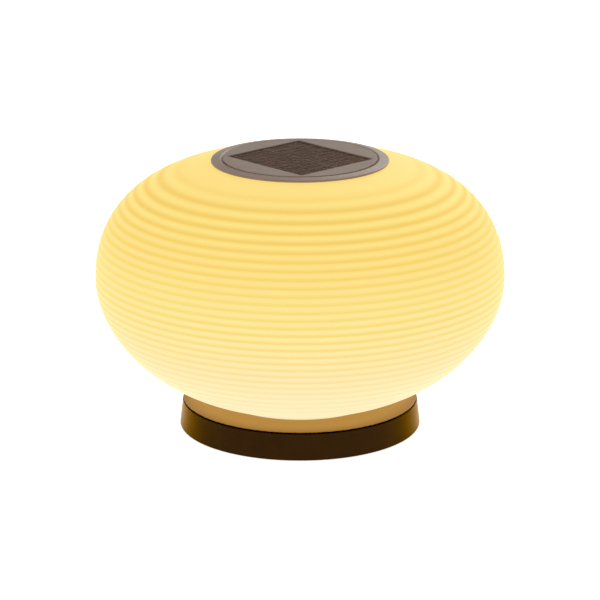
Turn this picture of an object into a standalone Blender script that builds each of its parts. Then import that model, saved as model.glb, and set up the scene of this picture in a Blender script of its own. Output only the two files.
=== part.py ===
"""Solar table lantern: a moulded ribbed shade on a weighted base, lit by a lift-out solar unit.

Sizes and places are in millimetres, and the helpers turn them into metres. The frame has +Z up and
its origin on the table, at the middle of the rubber foot ring. The solar unit's own pieces are laid
out in a frame turned about +Z, so that its X runs along the solar panel's long side.
"""

import math

import bmesh
import bpy
from mathutils import Vector

MM = 0.001
GAP = 0.3  # clearance between pieces that touch
TURN_STEPS = 48  # sides of the large turned pieces
HIDDEN_STEPS = 32  # sides of the large turned pieces that are out of sight
SMALL_STEPS = 20  # sides of the small turned pieces
SMOOTH_ANGLE = math.radians(35)
WELD = 0.002  # corners closer than this become one

# Shade: the outline is a superellipse above and below the widest height.
SHADE_RADIUS = 120.2
SHADE_WIDEST_Z = 90.2
SHADE_RISE, RISE_POWERS = 71.4, (2.21, 3.0)
SHADE_DROP, DROP_POWERS = 76.5, (1.80, 2.38)
SHADE_WALL = 1.6
SHADE_TOP_Z, SHADE_MOUTH_RADIUS = 159.7, 46.3
SHADE_FLOOR_Z, SHADE_FLOOR_RADIUS, SHADE_HOLE_RADIUS = 17.3, 48.0, 41.0

# Base
BASE_FOOT_RADIUS, BASE_RIM_RADIUS = 71.3, 69.45
BASE_LOW_Z, BASE_RIM_Z = 0.3, 16.1
PLATE_RADIUS, PLATE_BODY_RADIUS = 69.2, 67.4
PLATE_LOW_Z, PLATE_LIP_Z, PLATE_TOP_Z = 15.1, 16.65, 17.0
COVER_RADIUS, COVER_LOW_Z, COVER_TOP_Z = 67.9, 1.5, 3.5
FOOT_INNER, FOOT_OUTER, FOOT_HEIGHT = 62.6, 67.4, 1.2
RIM_BORE, RING_BORE, LEDGE_BORE, LEDGE_LOW_Z, LEDGE_TOP_Z = 67.9, 68.2, 63.5, 13.2, 14.8
BALLAST_BORE, BALLAST_RADIUS, BALLAST_LOW_Z, BALLAST_TOP_Z = 6.0, 50.6, 4.0, 8.9
CLAMP_INNER, CLAMP_OUTER, CLAMP_LOW_Z, CLAMP_TOP_Z = 39.5, 47.0, 19.2, 21.2
CLAMP_SCREW_CIRCLE, COVER_SCREW_CIRCLE = 44.5, 57.5
BASE_SCREWS = 3

# Screws: pan heads, their clearance holes and the pilot holes in the bosses
SCREW_SHANK, SCREW_HEAD, SCREW_HEAD_HEIGHT = 1.2, 2.9, 1.5
CLEARANCE_HOLE, PILOT_HOLE, BASE_BOSS = 1.7, 1.5, 3.2

# Solar unit
UNIT_TURN = math.radians(-46.7)  # direction of the panel's long side
BEZEL_RADIUS, BEZEL_EDGE_Z, BEZEL_TOP_Z = 51.7, 159.6, 161.5
DISC_RADIUS, DISC_LOW_Z, DISC_TOP_Z = 45.0, 160.7, 161.7
BEZEL_INNER = DISC_RADIUS + 0.5
SKIRT_OUTER, SKIRT_INNER, SKIRT_LOW_Z = 43.2, 41.2, 156.0
COLLAR_BORE, COLLAR_OUTER, COLLAR_LOW_Z = 43.6, 45.8, 146.0
FLANGE_RADIUS, FLANGE_LOW_Z, FLANGE_TOP_Z = 50.5, 155.7, 157.2
HOUSING_RADIUS, HOUSING_WALL = 43.0, 1.8
HOUSING_LOW_Z, HOUSING_FLOOR_Z, HOUSING_TOP_Z = 130.6, 133.0, 154.7
GRIP_LOW_Z, GRIP_TOP_Z = 147.0, 149.4
UNIT_SCREWS, BOSS_CIRCLE, BOSS_RADIUS = 4, 36.5, 2.9
UNIT_SCREW_HEAD, UNIT_SINK = 2.5, 2.7
LAMP_HOLE = 7.2  # hole in the housing's floor, under the lamp board
CARRIER_BORE, CARRIER_RADIUS, CARRIER_LOW_Z, CARRIER_TOP_Z = 12.0, 40.8, 158.4, 159.7

# Solar panel
PANEL_LENGTH, PANEL_WIDTH = 62.6, 56.5
PANEL_LOW_Z = 160.0
BOARD_INSET, BOARD_THICKNESS, WINDOW_LOW_Z, WINDOW_TOP_Z = 1.0, 0.45, 160.95, 161.25
POCKET_GAP = 0.25
CELL_STRIPS = 11
CELL_MARGIN, CELL_GAP, CELL_LOW_Z, CELL_TOP_Z = 0.3, 0.9, 160.55, 160.7
RIBBON_WIDTH, RIBBON_LOW_Z, RIBBON_TOP_Z = 0.8, 160.75, 160.88

# Battery bay, in the unit's frame
BAY_Y, BAY_HALF_LENGTH, BAY_HALF_WIDTH, BAY_TOP_Z = -19.5, 28.6, 7.8, 149.9
BAY_WALL = 1.4
CELL_RADIUS, CELL_Z = 7.2, 139.5
DOOR_THICKNESS, DOOR_LENGTH, DOOR_WIDTH = 1.3, 57.6, 17.6
DOOR_HINGE_X = -28.3
DOOR_HINGE_Z = HOUSING_LOW_Z + DOOR_THICKNESS / 2

# Switch and lamp, in the unit's frame
SWITCH_Y, SWITCH_TRAVEL = 24.0, 4.0
SWITCH_ON_X = -SWITCH_TRAVEL / 2  # the switch rests at ON
LENS_RADIUS, LENS_DROP, LENS_WALL = 9.1, 4.6, 0.9
LED_CIRCLE, LED_LENGTH, LED_WIDTH = 4.0, 3.5, 2.8
WIRE_RADIUS = 0.55
BOARD_LOW_Z, BOARD_TOP_Z = 150.2, 151.4


# ---------------------------------------------------------------- scene and materials


def clear_scene():
    for obj in list(bpy.data.objects):
        bpy.data.objects.remove(obj)


def new_collection(name):
    collection = bpy.data.collections.new(name)
    bpy.context.scene.collection.children.link(collection)
    return collection


def plastic(name, colour, roughness=0.5, metallic=0.0):
    """A plain Principled material of an sRGB colour, given as 0 to 255."""
    made = bpy.data.materials.new(name)
    made.use_nodes = True
    shader = made.node_tree.nodes["Principled BSDF"]
    linear = [(c / 255) ** 2.2 for c in colour]
    shader.inputs["Base Color"].default_value = (*linear, 1)
    shader.inputs["Roughness"].default_value = roughness
    shader.inputs["Metallic"].default_value = metallic
    return made


def make_materials():
    return {
        "shade": plastic("translucent_shade", (252, 226, 150), 0.45),
        "bronze": plastic("dark_bronze_lacquer", (52, 32, 12), 0.4, 1.0),
        "brown": plastic("dark_brown_plastic", (52, 32, 12), 0.5),
        "gold": plastic("satin_gold_plate", (188, 141, 64), 0.35, 0.6),
        "taupe": plastic("taupe_plastic", (146, 129, 116), 0.45),
        "black": plastic("black_plastic", (28, 27, 26), 0.5),
        "white": plastic("white_plastic", (226, 222, 212), 0.5),
        "rubber": plastic("rubber", (34, 33, 32), 0.85),
        "steel": plastic("zinc_plated_steel", (176, 176, 172), 0.35, 1.0),
        "brass": plastic("nickel_brass_contact", (190, 176, 138), 0.3, 1.0),
        "silicon": plastic("solar_cell", (74, 52, 42), 0.25),
        "window": plastic("clear_resin", (214, 216, 214), 0.08),
        "board": plastic("circuit_board", (30, 84, 52), 0.45),
        "sleeve": plastic("battery_sleeve", (64, 118, 92), 0.35),
        "lens": plastic("frosted_lens", (244, 238, 222), 0.55),
        "red": plastic("red_wire", (172, 34, 28), 0.45),
    }


# ---------------------------------------------------------------- shape helpers


class Workshop:
    """Where pieces are made: their collection, the cutters' collection and the materials."""

    def __init__(self):
        clear_scene()
        self.parts = new_collection("solar_lantern")
        self.cutters = new_collection("cutters")
        self.cutters.hide_render = True
        self.finish = make_materials()
        self.unit = bpy.data.objects.new("solar_unit_frame", None)
        self.unit.rotation_euler.z = UNIT_TURN
        self.parts.objects.link(self.unit)

    def place(self, name, mesh, finish, parent=None):
        """Adds a mesh as a part, or as a cutter where it has no finish."""
        obj = bpy.data.objects.new(name, mesh)
        obj.parent = parent
        if finish is None:
            self.cutters.objects.link(obj)
            obj.hide_render = True
            obj.display_type = "WIRE"
        else:
            self.parts.objects.link(obj)
            obj.data.materials.append(self.finish[finish])
        return obj

    def turned(self, name, profile, finish, steps=TURN_STEPS, at=(0, 0), parent=None):
        """A turned shape. The profile is (radius, z) points, down the outer side first. It closes on
        itself unless its ends are on the axis."""
        mesh = bpy.data.meshes.new(name)
        points = [(r * MM, 0, z * MM) for r, z in profile]
        edges = [(i, i + 1) for i in range(len(points) - 1)]
        if profile[0][0] > 0:
            edges.append((len(points) - 1, 0))
        mesh.from_pydata(points, edges, [])
        obj = self.place(name, mesh, finish, parent)
        obj.location = (at[0] * MM, at[1] * MM, 0)
        screw = obj.modifiers.new("Turn", "SCREW")
        screw.steps = screw.render_steps = steps
        screw.use_merge_vertices = True
        screw.merge_threshold = 1e-6
        screw.use_smooth_shade = True
        return obj

    def rod(self, name, radius, low, high, finish, at=(0, 0), steps=SMALL_STEPS, parent=None):
        """An upright cylinder from z low to z high."""
        profile = [(0, high), (radius, high), (radius, low), (0, low)]
        return self.turned(name, profile, finish, steps, at, parent)

    def counterbore(self, name, hole, sink, low, step, high, at, parent=None):
        """A cutter for a screw's hole with a wider sink for its head below."""
        profile = [(0, high), (hole, high), (hole, step), (sink, step), (sink, low), (0, low)]
        return self.turned(name, profile, None, 12, at, parent)

    def block(self, name, low, high, finish, bevel=0.0, parent=None):
        """A box from its lowest corner to its highest, with rounded edges where bevel is set."""
        low, high = Vector(low) * MM, Vector(high) * MM
        bm = bmesh.new()
        bmesh.ops.create_cube(bm, size=1)
        bmesh.ops.scale(bm, vec=high - low, verts=bm.verts)
        mesh = bpy.data.meshes.new(name)
        bm.to_mesh(mesh)
        bm.free()
        obj = self.place(name, mesh, finish, parent)
        obj.location = (low + high) / 2
        if bevel:
            edge = obj.modifiers.new("Round", "BEVEL")
            edge.width = bevel * MM
            edge.segments = 1
        return obj

    def lying_rod(self, name, radius, start, end, finish, steps=SMALL_STEPS, parent=None):
        """A cylinder between two points."""
        start, end = Vector(start) * MM, Vector(end) * MM
        bm = bmesh.new()
        bmesh.ops.create_cone(
            bm, cap_ends=True, segments=steps, radius1=radius * MM, radius2=radius * MM,
            depth=(end - start).length,
        )
        mesh = bpy.data.meshes.new(name)
        bm.to_mesh(mesh)
        bm.free()
        obj = self.place(name, mesh, finish, parent)
        obj.location = (start + end) / 2
        obj.rotation_mode = "QUATERNION"
        obj.rotation_quaternion = (end - start).to_track_quat("Z", "Y")
        return obj

    def wire(self, name, route, radius, finish, parent=None, points=18):
        """A round wire along a smooth curve through the route's points."""
        curve = bpy.data.curves.new(name, "CURVE")
        curve.dimensions = "3D"
        curve.bevel_depth = radius * MM
        curve.bevel_resolution = 2
        curve.use_fill_caps = True
        path = smooth_route(route, points) if points else route
        spline = curve.splines.new("POLY")
        spline.points.add(len(path) - 1)
        for point, place in zip(spline.points, path):
            point.co = (*(Vector(place) * MM), 1)
        return self.place(name, curve, finish, parent)


def combine(obj, other, operation):
    """Cuts other from obj, or joins it to obj, with a Boolean modifier."""
    change = obj.modifiers.new(f"{operation.title()} {other.name}", "BOOLEAN")
    change.operation = operation
    change.object = other
    return obj


def cut(obj, *cutters):
    for cutter in cutters:
        combine(obj, cutter, "DIFFERENCE")
    return obj


def join(obj, *others):
    for other in others:
        combine(obj, other, "UNION")
    return obj


def smooth_route(route, count):
    """Points along the Catmull-Rom curve through a route."""
    ends = [Vector(p) for p in (route[0], *route, route[-1])]
    spans = len(route) - 1
    found = []
    for i in range(count):
        place = i / (count - 1) * spans
        k = min(int(place), spans - 1)
        t = place - k
        a, b, c, d = ends[k : k + 4]
        found.append(
            0.5 * (2 * b + (c - a) * t + (2 * a - 5 * b + 4 * c - d) * t**2
                   + (3 * b - a - 3 * c + d) * t**3)
        )
    return found


def around(count, radius, first=0.0):
    """Places spread evenly round a circle."""
    angles = [first + math.tau * i / count for i in range(count)]
    return [(radius * math.cos(a), radius * math.sin(a)) for a in angles]


def settle(obj):
    """Turns a part's modifiers into its mesh, welded, with smooth sides and crisp corners."""
    graph = bpy.context.evaluated_depsgraph_get()
    mesh = bpy.data.meshes.new_from_object(obj.evaluated_get(graph))
    bm = bmesh.new()
    bm.from_mesh(mesh)
    bmesh.ops.remove_doubles(bm, verts=bm.verts, dist=WELD * MM)
    bmesh.ops.dissolve_degenerate(bm, edges=bm.edges, dist=WELD * MM)
    bm.to_mesh(mesh)
    bm.free()
    mesh.shade_smooth()
    mesh.set_sharp_from_angle(angle=SMOOTH_ANGLE)
    return mesh


# ---------------------------------------------------------------- shade


def shade_radius(z):
    """Outer radius of the shade at height z."""
    if z >= SHADE_WIDEST_Z:
        share, (power, root) = (z - SHADE_WIDEST_Z) / SHADE_RISE, RISE_POWERS
    else:
        share, (power, root) = (SHADE_WIDEST_Z - z) / SHADE_DROP, DROP_POWERS
    return SHADE_RADIUS * (1 - share**power) ** (1 / root)


def shade_outline(count):
    """Points down the shade's outer side, closer together where it curves most."""
    low, high = SHADE_FLOOR_Z + 1.6, SHADE_TOP_Z
    middle, half = (low + high) / 2, (high - low) / 2
    heights = [middle + half * math.cos(math.pi * i / (count - 1)) for i in range(count)]
    return [(shade_radius(z), z) for z in heights]


def inward(outline, thickness):
    """The outline moved inwards by a wall's thickness, square to itself."""
    moved = []
    for i, here in enumerate(outline):
        before, after = outline[max(i - 1, 0)], outline[min(i + 1, len(outline) - 1)]
        along = Vector((after[0] - before[0], after[1] - before[1])).normalized()
        moved.append((here[0] + along.y * thickness, here[1] - along.x * thickness))
    return moved


def make_shade(shop):
    outer = shade_outline(18)
    inner = inward(outer, SHADE_WALL)[1:-1:2]
    profile = [
        (SHADE_MOUTH_RADIUS, SHADE_TOP_Z),
        *outer[1:],
        (SHADE_FLOOR_RADIUS, SHADE_FLOOR_Z),
        (SHADE_HOLE_RADIUS, SHADE_FLOOR_Z),
        (SHADE_HOLE_RADIUS, SHADE_FLOOR_Z + SHADE_WALL),
        (SHADE_FLOOR_RADIUS - 0.5, SHADE_FLOOR_Z + SHADE_WALL),
        *reversed(inner),
        (SHADE_MOUTH_RADIUS, SHADE_TOP_Z - SHADE_WALL),
    ]
    shade = shop.turned("shade", profile, "shade")
    for i, at in enumerate(around(BASE_SCREWS, CLAMP_SCREW_CIRCLE, math.pi / 2)):
        cut(shade, shop.rod(f"shade_screw_hole_{i}", CLEARANCE_HOLE, 15, 20, None, at, 12))

    # The collar is bonded under the shade's mouth, and the solar unit drops into its bore.
    shop.turned(
        "shade_collar",
        [
            (COLLAR_BORE, SHADE_TOP_Z - 0.2), (COLLAR_OUTER, SHADE_TOP_Z - 0.2),
            (COLLAR_OUTER, FLANGE_TOP_Z), (FLANGE_RADIUS, FLANGE_TOP_Z),
            (FLANGE_RADIUS, FLANGE_LOW_Z), (COLLAR_OUTER, FLANGE_LOW_Z),
            (COLLAR_OUTER, COLLAR_LOW_Z), (COLLAR_BORE, COLLAR_LOW_Z),
        ],
        "white",
    )


# ---------------------------------------------------------------- base


def make_base(shop):
    shop.turned(
        "base_ring",
        [
            (RIM_BORE, BASE_RIM_Z), (BASE_RIM_RADIUS - 0.25, BASE_RIM_Z),
            (BASE_RIM_RADIUS, BASE_RIM_Z - 0.25), (BASE_FOOT_RADIUS, BASE_LOW_Z + 0.4),
            (BASE_FOOT_RADIUS - 0.4, BASE_LOW_Z), (RING_BORE, BASE_LOW_Z),
            (RING_BORE, COVER_TOP_Z + GAP), (RING_BORE - 1.6, COVER_TOP_Z + GAP),
            (RING_BORE - 1.6, LEDGE_LOW_Z), (LEDGE_BORE, LEDGE_LOW_Z),
            (LEDGE_BORE, LEDGE_TOP_Z), (RIM_BORE, LEDGE_TOP_Z),
        ],
        "bronze",
    )

    plate = shop.turned(
        "base_top_plate",
        [(0, PLATE_TOP_Z), (PLATE_RADIUS - 0.15, PLATE_TOP_Z), (PLATE_RADIUS, PLATE_TOP_Z - 0.15),
         (PLATE_RADIUS, PLATE_LIP_Z), (PLATE_BODY_RADIUS, PLATE_LIP_Z),
         (PLATE_BODY_RADIUS, PLATE_LOW_Z), (0, PLATE_LOW_Z)],
        "gold",
    )
    clamp_places = around(BASE_SCREWS, CLAMP_SCREW_CIRCLE, math.pi / 2)
    cover_places = around(BASE_SCREWS, COVER_SCREW_CIRCLE, math.pi / 6)
    for i, at in enumerate(clamp_places):
        join(plate, shop.rod(f"clamp_boss_{i}", BASE_BOSS, BALLAST_TOP_Z + 0.4,
                             PLATE_LOW_Z + 0.6, None, at, 16))
        cut(plate, shop.rod(f"clamp_boss_hole_{i}", PILOT_HOLE, 9.0, 20, None, at, 12))
    for i, at in enumerate(cover_places):
        join(plate, shop.rod(f"cover_boss_{i}", BASE_BOSS, COVER_TOP_Z + GAP,
                             PLATE_LOW_Z + 0.6, None, at, 16))
        cut(plate, shop.rod(f"cover_boss_hole_{i}", PILOT_HOLE, 3.0, 13.5, None, at, 12))

    clamp = shop.turned(
        "shade_clamp_ring",
        [(CLAMP_INNER, CLAMP_TOP_Z), (CLAMP_OUTER, CLAMP_TOP_Z), (CLAMP_OUTER, CLAMP_LOW_Z),
         (CLAMP_INNER, CLAMP_LOW_Z)],
        "white",
        HIDDEN_STEPS,
    )
    for i, at in enumerate(clamp_places):
        cut(clamp, shop.rod(f"clamp_ring_hole_{i}", CLEARANCE_HOLE, 18, 22, None, at, 12))
        make_screw(shop, f"clamp_screw_{i + 1}", at, CLAMP_TOP_Z + GAP, 10.0, up=True)

    shop.turned(
        "base_ballast",
        [(BALLAST_BORE, BALLAST_TOP_Z), (BALLAST_RADIUS - 0.6, BALLAST_TOP_Z),
         (BALLAST_RADIUS, BALLAST_TOP_Z - 0.6), (BALLAST_RADIUS, BALLAST_LOW_Z),
         (BALLAST_BORE, BALLAST_LOW_Z)],
        "steel",
        HIDDEN_STEPS,
    )

    cover = shop.turned(
        "base_bottom_cover",
        [(0, COVER_TOP_Z), (COVER_RADIUS, COVER_TOP_Z), (COVER_RADIUS, COVER_LOW_Z),
         (0, COVER_LOW_Z)],
        "brown",
    )
    for i, at in enumerate(cover_places):
        cut(cover, shop.counterbore(f"cover_hole_{i}", CLEARANCE_HOLE, SCREW_HEAD + GAP, 0,
                                    COVER_LOW_Z + 1.1, 5, at))
        make_screw(shop, f"cover_screw_{i + 1}", at, COVER_LOW_Z + 1.0, 12.5, up=False)

    shop.turned(
        "foot_ring",
        [(FOOT_INNER, FOOT_HEIGHT), (FOOT_OUTER, FOOT_HEIGHT), (FOOT_OUTER, 0), (FOOT_INNER, 0)],
        "rubber",
    )


def make_screw(shop, name, at, head_z, tip_z, up, head=SCREW_HEAD, parent=None):
    """A pan-head screw. head_z is where the head bears, and up says that the head is above."""
    rise = SCREW_HEAD_HEIGHT if up else -SCREW_HEAD_HEIGHT
    profile = [(0, head_z + rise), (head * 0.7, head_z + rise), (head, head_z + rise * 0.5),
               (head, head_z), (SCREW_SHANK, head_z), (SCREW_SHANK, tip_z), (0, tip_z)]
    if not up:
        profile.reverse()
    shop.turned(name, profile, "steel", 12, at, parent)


# ---------------------------------------------------------------- solar unit: top


def make_unit_top(shop):
    unit = shop.unit
    shop.turned(
        "top_bezel",
        [
            (BEZEL_INNER, BEZEL_TOP_Z), (BEZEL_RADIUS - 0.4, 160.75), (BEZEL_RADIUS, 160.4),
            (BEZEL_RADIUS, BEZEL_EDGE_Z), (50.2, BEZEL_EDGE_Z + 0.2), (SKIRT_OUTER, 160.0),
            (SKIRT_OUTER, SKIRT_LOW_Z), (SKIRT_INNER, SKIRT_LOW_Z), (SKIRT_INNER, 160.5),
            (BEZEL_INNER, 160.5),
        ],
        "taupe",
        parent=unit,
    )

    disc = shop.turned(
        "top_disc",
        [(0, DISC_TOP_Z), (DISC_RADIUS - 0.25, DISC_TOP_Z), (DISC_RADIUS, DISC_TOP_Z - 0.25),
         (DISC_RADIUS, DISC_LOW_Z), (0, DISC_LOW_Z)],
        "taupe",
        parent=unit,
    )
    half_x, half_y = PANEL_LENGTH / 2 + POCKET_GAP, PANEL_WIDTH / 2 + POCKET_GAP
    cut(disc, shop.block("panel_pocket", (-half_x, -half_y, 155), (half_x, half_y, 165), None,
                         parent=unit))
    for i, at in enumerate(around(UNIT_SCREWS, BOSS_CIRCLE)):
        join(disc, shop.rod(f"disc_boss_{i}", BOSS_RADIUS, 156.2, DISC_LOW_Z + 0.5, None, at, 16,
                            unit))
        cut(disc, shop.rod(f"disc_boss_hole_{i}", PILOT_HOLE, 155, 159.8, None, at, 12, unit))

    carrier = shop.turned(
        "panel_carrier",
        [(CARRIER_BORE, CARRIER_TOP_Z), (CARRIER_RADIUS, CARRIER_TOP_Z),
         (CARRIER_RADIUS, CARRIER_LOW_Z), (CARRIER_BORE, CARRIER_LOW_Z)],
        "black",
        HIDDEN_STEPS,
        parent=unit,
    )
    for i, at in enumerate(around(UNIT_SCREWS, BOSS_CIRCLE)):
        cut(carrier, shop.rod(f"carrier_hole_{i}", BOSS_RADIUS + GAP, 157, 161, None, at, 16, unit))

    make_panel(shop)


def make_panel(shop):
    """The panel: a board, the cell strips on it, the ribbon that joins them and the clear resin."""
    unit = shop.unit
    half_x, half_y = PANEL_LENGTH / 2, PANEL_WIDTH / 2
    board_x, board_y = half_x - BOARD_INSET, half_y - BOARD_INSET
    shop.block("panel_board", (-board_x, -board_y, PANEL_LOW_Z),
               (board_x, board_y, PANEL_LOW_Z + BOARD_THICKNESS), "black", parent=unit)

    field = PANEL_LENGTH - 2 * CELL_MARGIN
    pitch = (field + CELL_GAP) / CELL_STRIPS
    for i in range(CELL_STRIPS):
        x = -half_x + CELL_MARGIN + i * pitch
        shop.block(
            f"cell_strip_{i + 1:02d}",
            (x, -half_y + CELL_MARGIN, CELL_LOW_Z),
            (x + pitch - CELL_GAP, half_y - CELL_MARGIN, CELL_TOP_Z),
            "silicon",
            parent=unit,
        )
    shop.block("cell_ribbon", (-half_x + CELL_MARGIN, -RIBBON_WIDTH / 2, RIBBON_LOW_Z),
               (half_x - CELL_MARGIN, RIBBON_WIDTH / 2, RIBBON_TOP_Z), "brass", parent=unit)
    shop.block("panel_window", (-half_x, -half_y, WINDOW_LOW_Z), (half_x, half_y, WINDOW_TOP_Z),
               "window", parent=unit)


# ---------------------------------------------------------------- solar unit: housing


def make_housing(shop):
    unit = shop.unit
    inner = HOUSING_RADIUS - HOUSING_WALL
    housing = shop.turned(
        "unit_housing",
        [
            (inner, HOUSING_TOP_Z), (HOUSING_RADIUS, HOUSING_TOP_Z),
            (HOUSING_RADIUS, GRIP_TOP_Z), (HOUSING_RADIUS - 0.8, GRIP_TOP_Z),
            (HOUSING_RADIUS - 0.8, GRIP_LOW_Z), (HOUSING_RADIUS, GRIP_LOW_Z),
            (HOUSING_RADIUS, HOUSING_LOW_Z + 1.2), (HOUSING_RADIUS - 1.2, HOUSING_LOW_Z),
            (LAMP_HOLE, HOUSING_LOW_Z), (LAMP_HOLE, HOUSING_FLOOR_Z), (inner, HOUSING_FLOOR_Z),
        ],
        "black",
        HIDDEN_STEPS,
        parent=unit,
    )
    long, wide = BAY_HALF_LENGTH, BAY_HALF_WIDTH
    join(housing, shop.block(
        "bay_walls",
        (-long - BAY_WALL, BAY_Y - wide - BAY_WALL, HOUSING_LOW_Z + 1.8),
        (long + BAY_WALL, BAY_Y + wide + BAY_WALL, BAY_TOP_Z), None, parent=unit))
    cut(housing, shop.block(
        "bay_space", (-long, BAY_Y - wide, HOUSING_LOW_Z - 2), (long, BAY_Y + wide, BAY_TOP_Z + 5),
        None, parent=unit))
    cut(housing, shop.block(
        "door_recess", (-29.6, BAY_Y - 9.1, HOUSING_LOW_Z - 2),
        (29.6, BAY_Y + 9.1, HOUSING_LOW_Z + 1.5), None, parent=unit))
    cut(housing, shop.lying_rod(
        "door_pivot_slot", 0.95, (DOOR_HINGE_X, BAY_Y - 10.3, DOOR_HINGE_Z),
        (DOOR_HINGE_X, BAY_Y + 10.3, DOOR_HINGE_Z), None, 12, unit))

    # Floor cut-outs: the lens seat, the switch's finger recess and the slot for its stem.
    cut(housing, shop.rod("lens_seat", LENS_RADIUS + GAP, 129, HOUSING_LOW_Z + 1.0, None,
                          steps=32, parent=unit))
    cut(housing, shop.block("switch_recess", (-7, SWITCH_Y - 3.5, 129),
                            (7, SWITCH_Y + 3.5, HOUSING_LOW_Z + 1.2), None, parent=unit))
    cut(housing, shop.block("switch_slot", (-4.2, SWITCH_Y - 1.5, 129),
                            (4.2, SWITCH_Y + 1.5, 134), None, parent=unit))

    for i, at in enumerate(around(UNIT_SCREWS, BOSS_CIRCLE)):
        join(housing, shop.rod(f"housing_boss_{i}", BOSS_RADIUS + 0.1, HOUSING_LOW_Z + 1.8, 155.9,
                               None, at, 16, unit))
        cut(housing, shop.counterbore(f"housing_hole_{i}", PILOT_HOLE, UNIT_SINK, 129,
                                      HOUSING_LOW_Z + 2.0, 157, at, unit))
        make_screw(shop, f"unit_screw_{i + 1}", at, HOUSING_LOW_Z + 1.8, 159.0, up=False,
                   head=UNIT_SCREW_HEAD, parent=unit)

    shop.turned("unit_gasket", [(41.4, 155.7), (43.0, 155.7), (43.0, 155.0), (41.4, 155.0)],
                "rubber", HIDDEN_STEPS, parent=unit)
    middle = (GRIP_LOW_Z + GRIP_TOP_Z) / 2
    shop.turned(
        "grip_ring",
        [(42.5, middle + 0.9), (42.95, middle + 0.9), (43.35, middle + 0.4),
         (43.35, middle - 0.4), (42.95, middle - 0.9), (42.5, middle - 0.9)],
        "rubber",
        HIDDEN_STEPS,
        parent=unit,
    )


def make_battery(shop):
    unit = shop.unit
    axis = (BAY_Y, CELL_Z)
    battery = shop.lying_rod("battery", CELL_RADIUS, (-24.2, *axis), (25.1, *axis), "sleeve", 24,
                             unit)
    join(battery, shop.lying_rod("battery_nub", 2.7, (24.5, *axis), (26.4, *axis), None, 16, unit))
    shop.block("battery_contact_plus", (26.8, BAY_Y - 4, 134.2), (27.3, BAY_Y + 4, 152.6), "brass",
               parent=unit)
    shop.block("battery_contact_minus", (-28.2, BAY_Y - 4, 134.2), (-27.7, BAY_Y + 4, 152.6),
               "brass", parent=unit)
    coil = []
    turns, per_turn = 3, 12
    for i in range(turns * per_turn + 1):
        share = i / (turns * per_turn)
        angle, radius = share * turns * math.tau, 4.2 - 1.6 * share
        coil.append((-27.25 + 2.55 * share, BAY_Y + radius * math.cos(angle),
                     CELL_Z + radius * math.sin(angle)))
    shop.wire("battery_spring", coil, 0.3, "steel", unit, points=0)

    door = shop.block(
        "battery_door", (DOOR_HINGE_X, BAY_Y - DOOR_WIDTH / 2, HOUSING_LOW_Z),
        (DOOR_HINGE_X + DOOR_LENGTH, BAY_Y + DOOR_WIDTH / 2, HOUSING_LOW_Z + DOOR_THICKNESS),
        "black", parent=unit)
    barrel = shop.lying_rod(
        "door_pivot", DOOR_THICKNESS / 2 - 0.02, (DOOR_HINGE_X, BAY_Y - 9.9, DOOR_HINGE_Z),
        (DOOR_HINGE_X, BAY_Y + 9.9, DOOR_HINGE_Z), None, 12, unit)
    grip = shop.lying_rod(
        "door_nail_notch", 2.0, (DOOR_HINGE_X + DOOR_LENGTH - 3, BAY_Y - 5, HOUSING_LOW_Z - 1.4),
        (DOOR_HINGE_X + DOOR_LENGTH - 3, BAY_Y + 5, HOUSING_LOW_Z - 1.4), None, 16, unit)
    join(door, barrel)
    cut(door, grip)


def make_electronics(shop):
    unit = shop.unit
    shop.block("control_board", (-26.4, -27.0, BOARD_LOW_Z), (26.4, 14.0, BOARD_TOP_Z), "board",
               parent=unit)
    seat = BOARD_TOP_Z + 0.1
    shop.block("charge_chip", (-10.0, -12.0, seat), (-5.0, -8.0, seat + 1.6), "black", parent=unit)
    shop.rod("boost_coil", 3.0, seat, seat + 3.1, "black", (12.0, -12.0), 16, unit)
    shop.rod("capacitor", 2.5, seat, seat + 5.1, "steel", (-18.0, 4.0), 16, unit)

    body = shop.block("switch_body", (-6.0, SWITCH_Y - 3.0, 133.3), (6.0, SWITCH_Y + 3.0, 137.5),
                      "steel", parent=unit)
    cut(body, shop.block("switch_cavity", (-4.9, SWITCH_Y - 1.7, 130), (4.9, SWITCH_Y + 1.7, 136.4),
                         None, parent=unit))
    x = SWITCH_ON_X
    slider = shop.block("switch_slider", (x - 2.5, SWITCH_Y - 2.0, 130.0),
                        (x + 2.5, SWITCH_Y + 2.0, 131.4), "white", parent=unit)
    join(slider, shop.block("switch_stem", (x - 1.5, SWITCH_Y - 1.1, 131.0),
                            (x + 1.5, SWITCH_Y + 1.1, 135.6), None, parent=unit))

    shop.rod("led_board", LENS_RADIUS - 0.1, 133.3, 134.5, "white", steps=28, parent=unit)
    half_x, half_y = LED_LENGTH / 2, LED_WIDTH / 2
    for i, (x, y) in enumerate(around(3, LED_CIRCLE, math.pi / 2)):
        shop.block(f"led_{i + 1}", (x - half_x, y - half_y, 132.4), (x + half_x, y + half_y, 133.1),
                   "lens", parent=unit)

    # The lens is a thin dome below the housing's floor, with a flange that sits in the lens seat.
    dome_radius, flange_z = LENS_RADIUS - LENS_WALL, HOUSING_LOW_Z
    angles = [math.pi / 2 * i / 5 for i in range(6)]
    dome = [(dome_radius * math.cos(a), flange_z - 0.6 - LENS_DROP * math.sin(a)) for a in angles]
    dome[-1] = (0, dome[-1][1])
    hollow = [(r * 0.86, z + LENS_WALL) for r, z in reversed(dome)]
    shop.turned(
        "lamp_lens",
        [*hollow, (LENS_RADIUS - 2.0, flange_z + 0.7), (LENS_RADIUS, flange_z + 0.7),
         (LENS_RADIUS, flange_z), (dome_radius, flange_z), *dome],
        "lens",
        28,
        parent=unit,
    )


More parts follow.
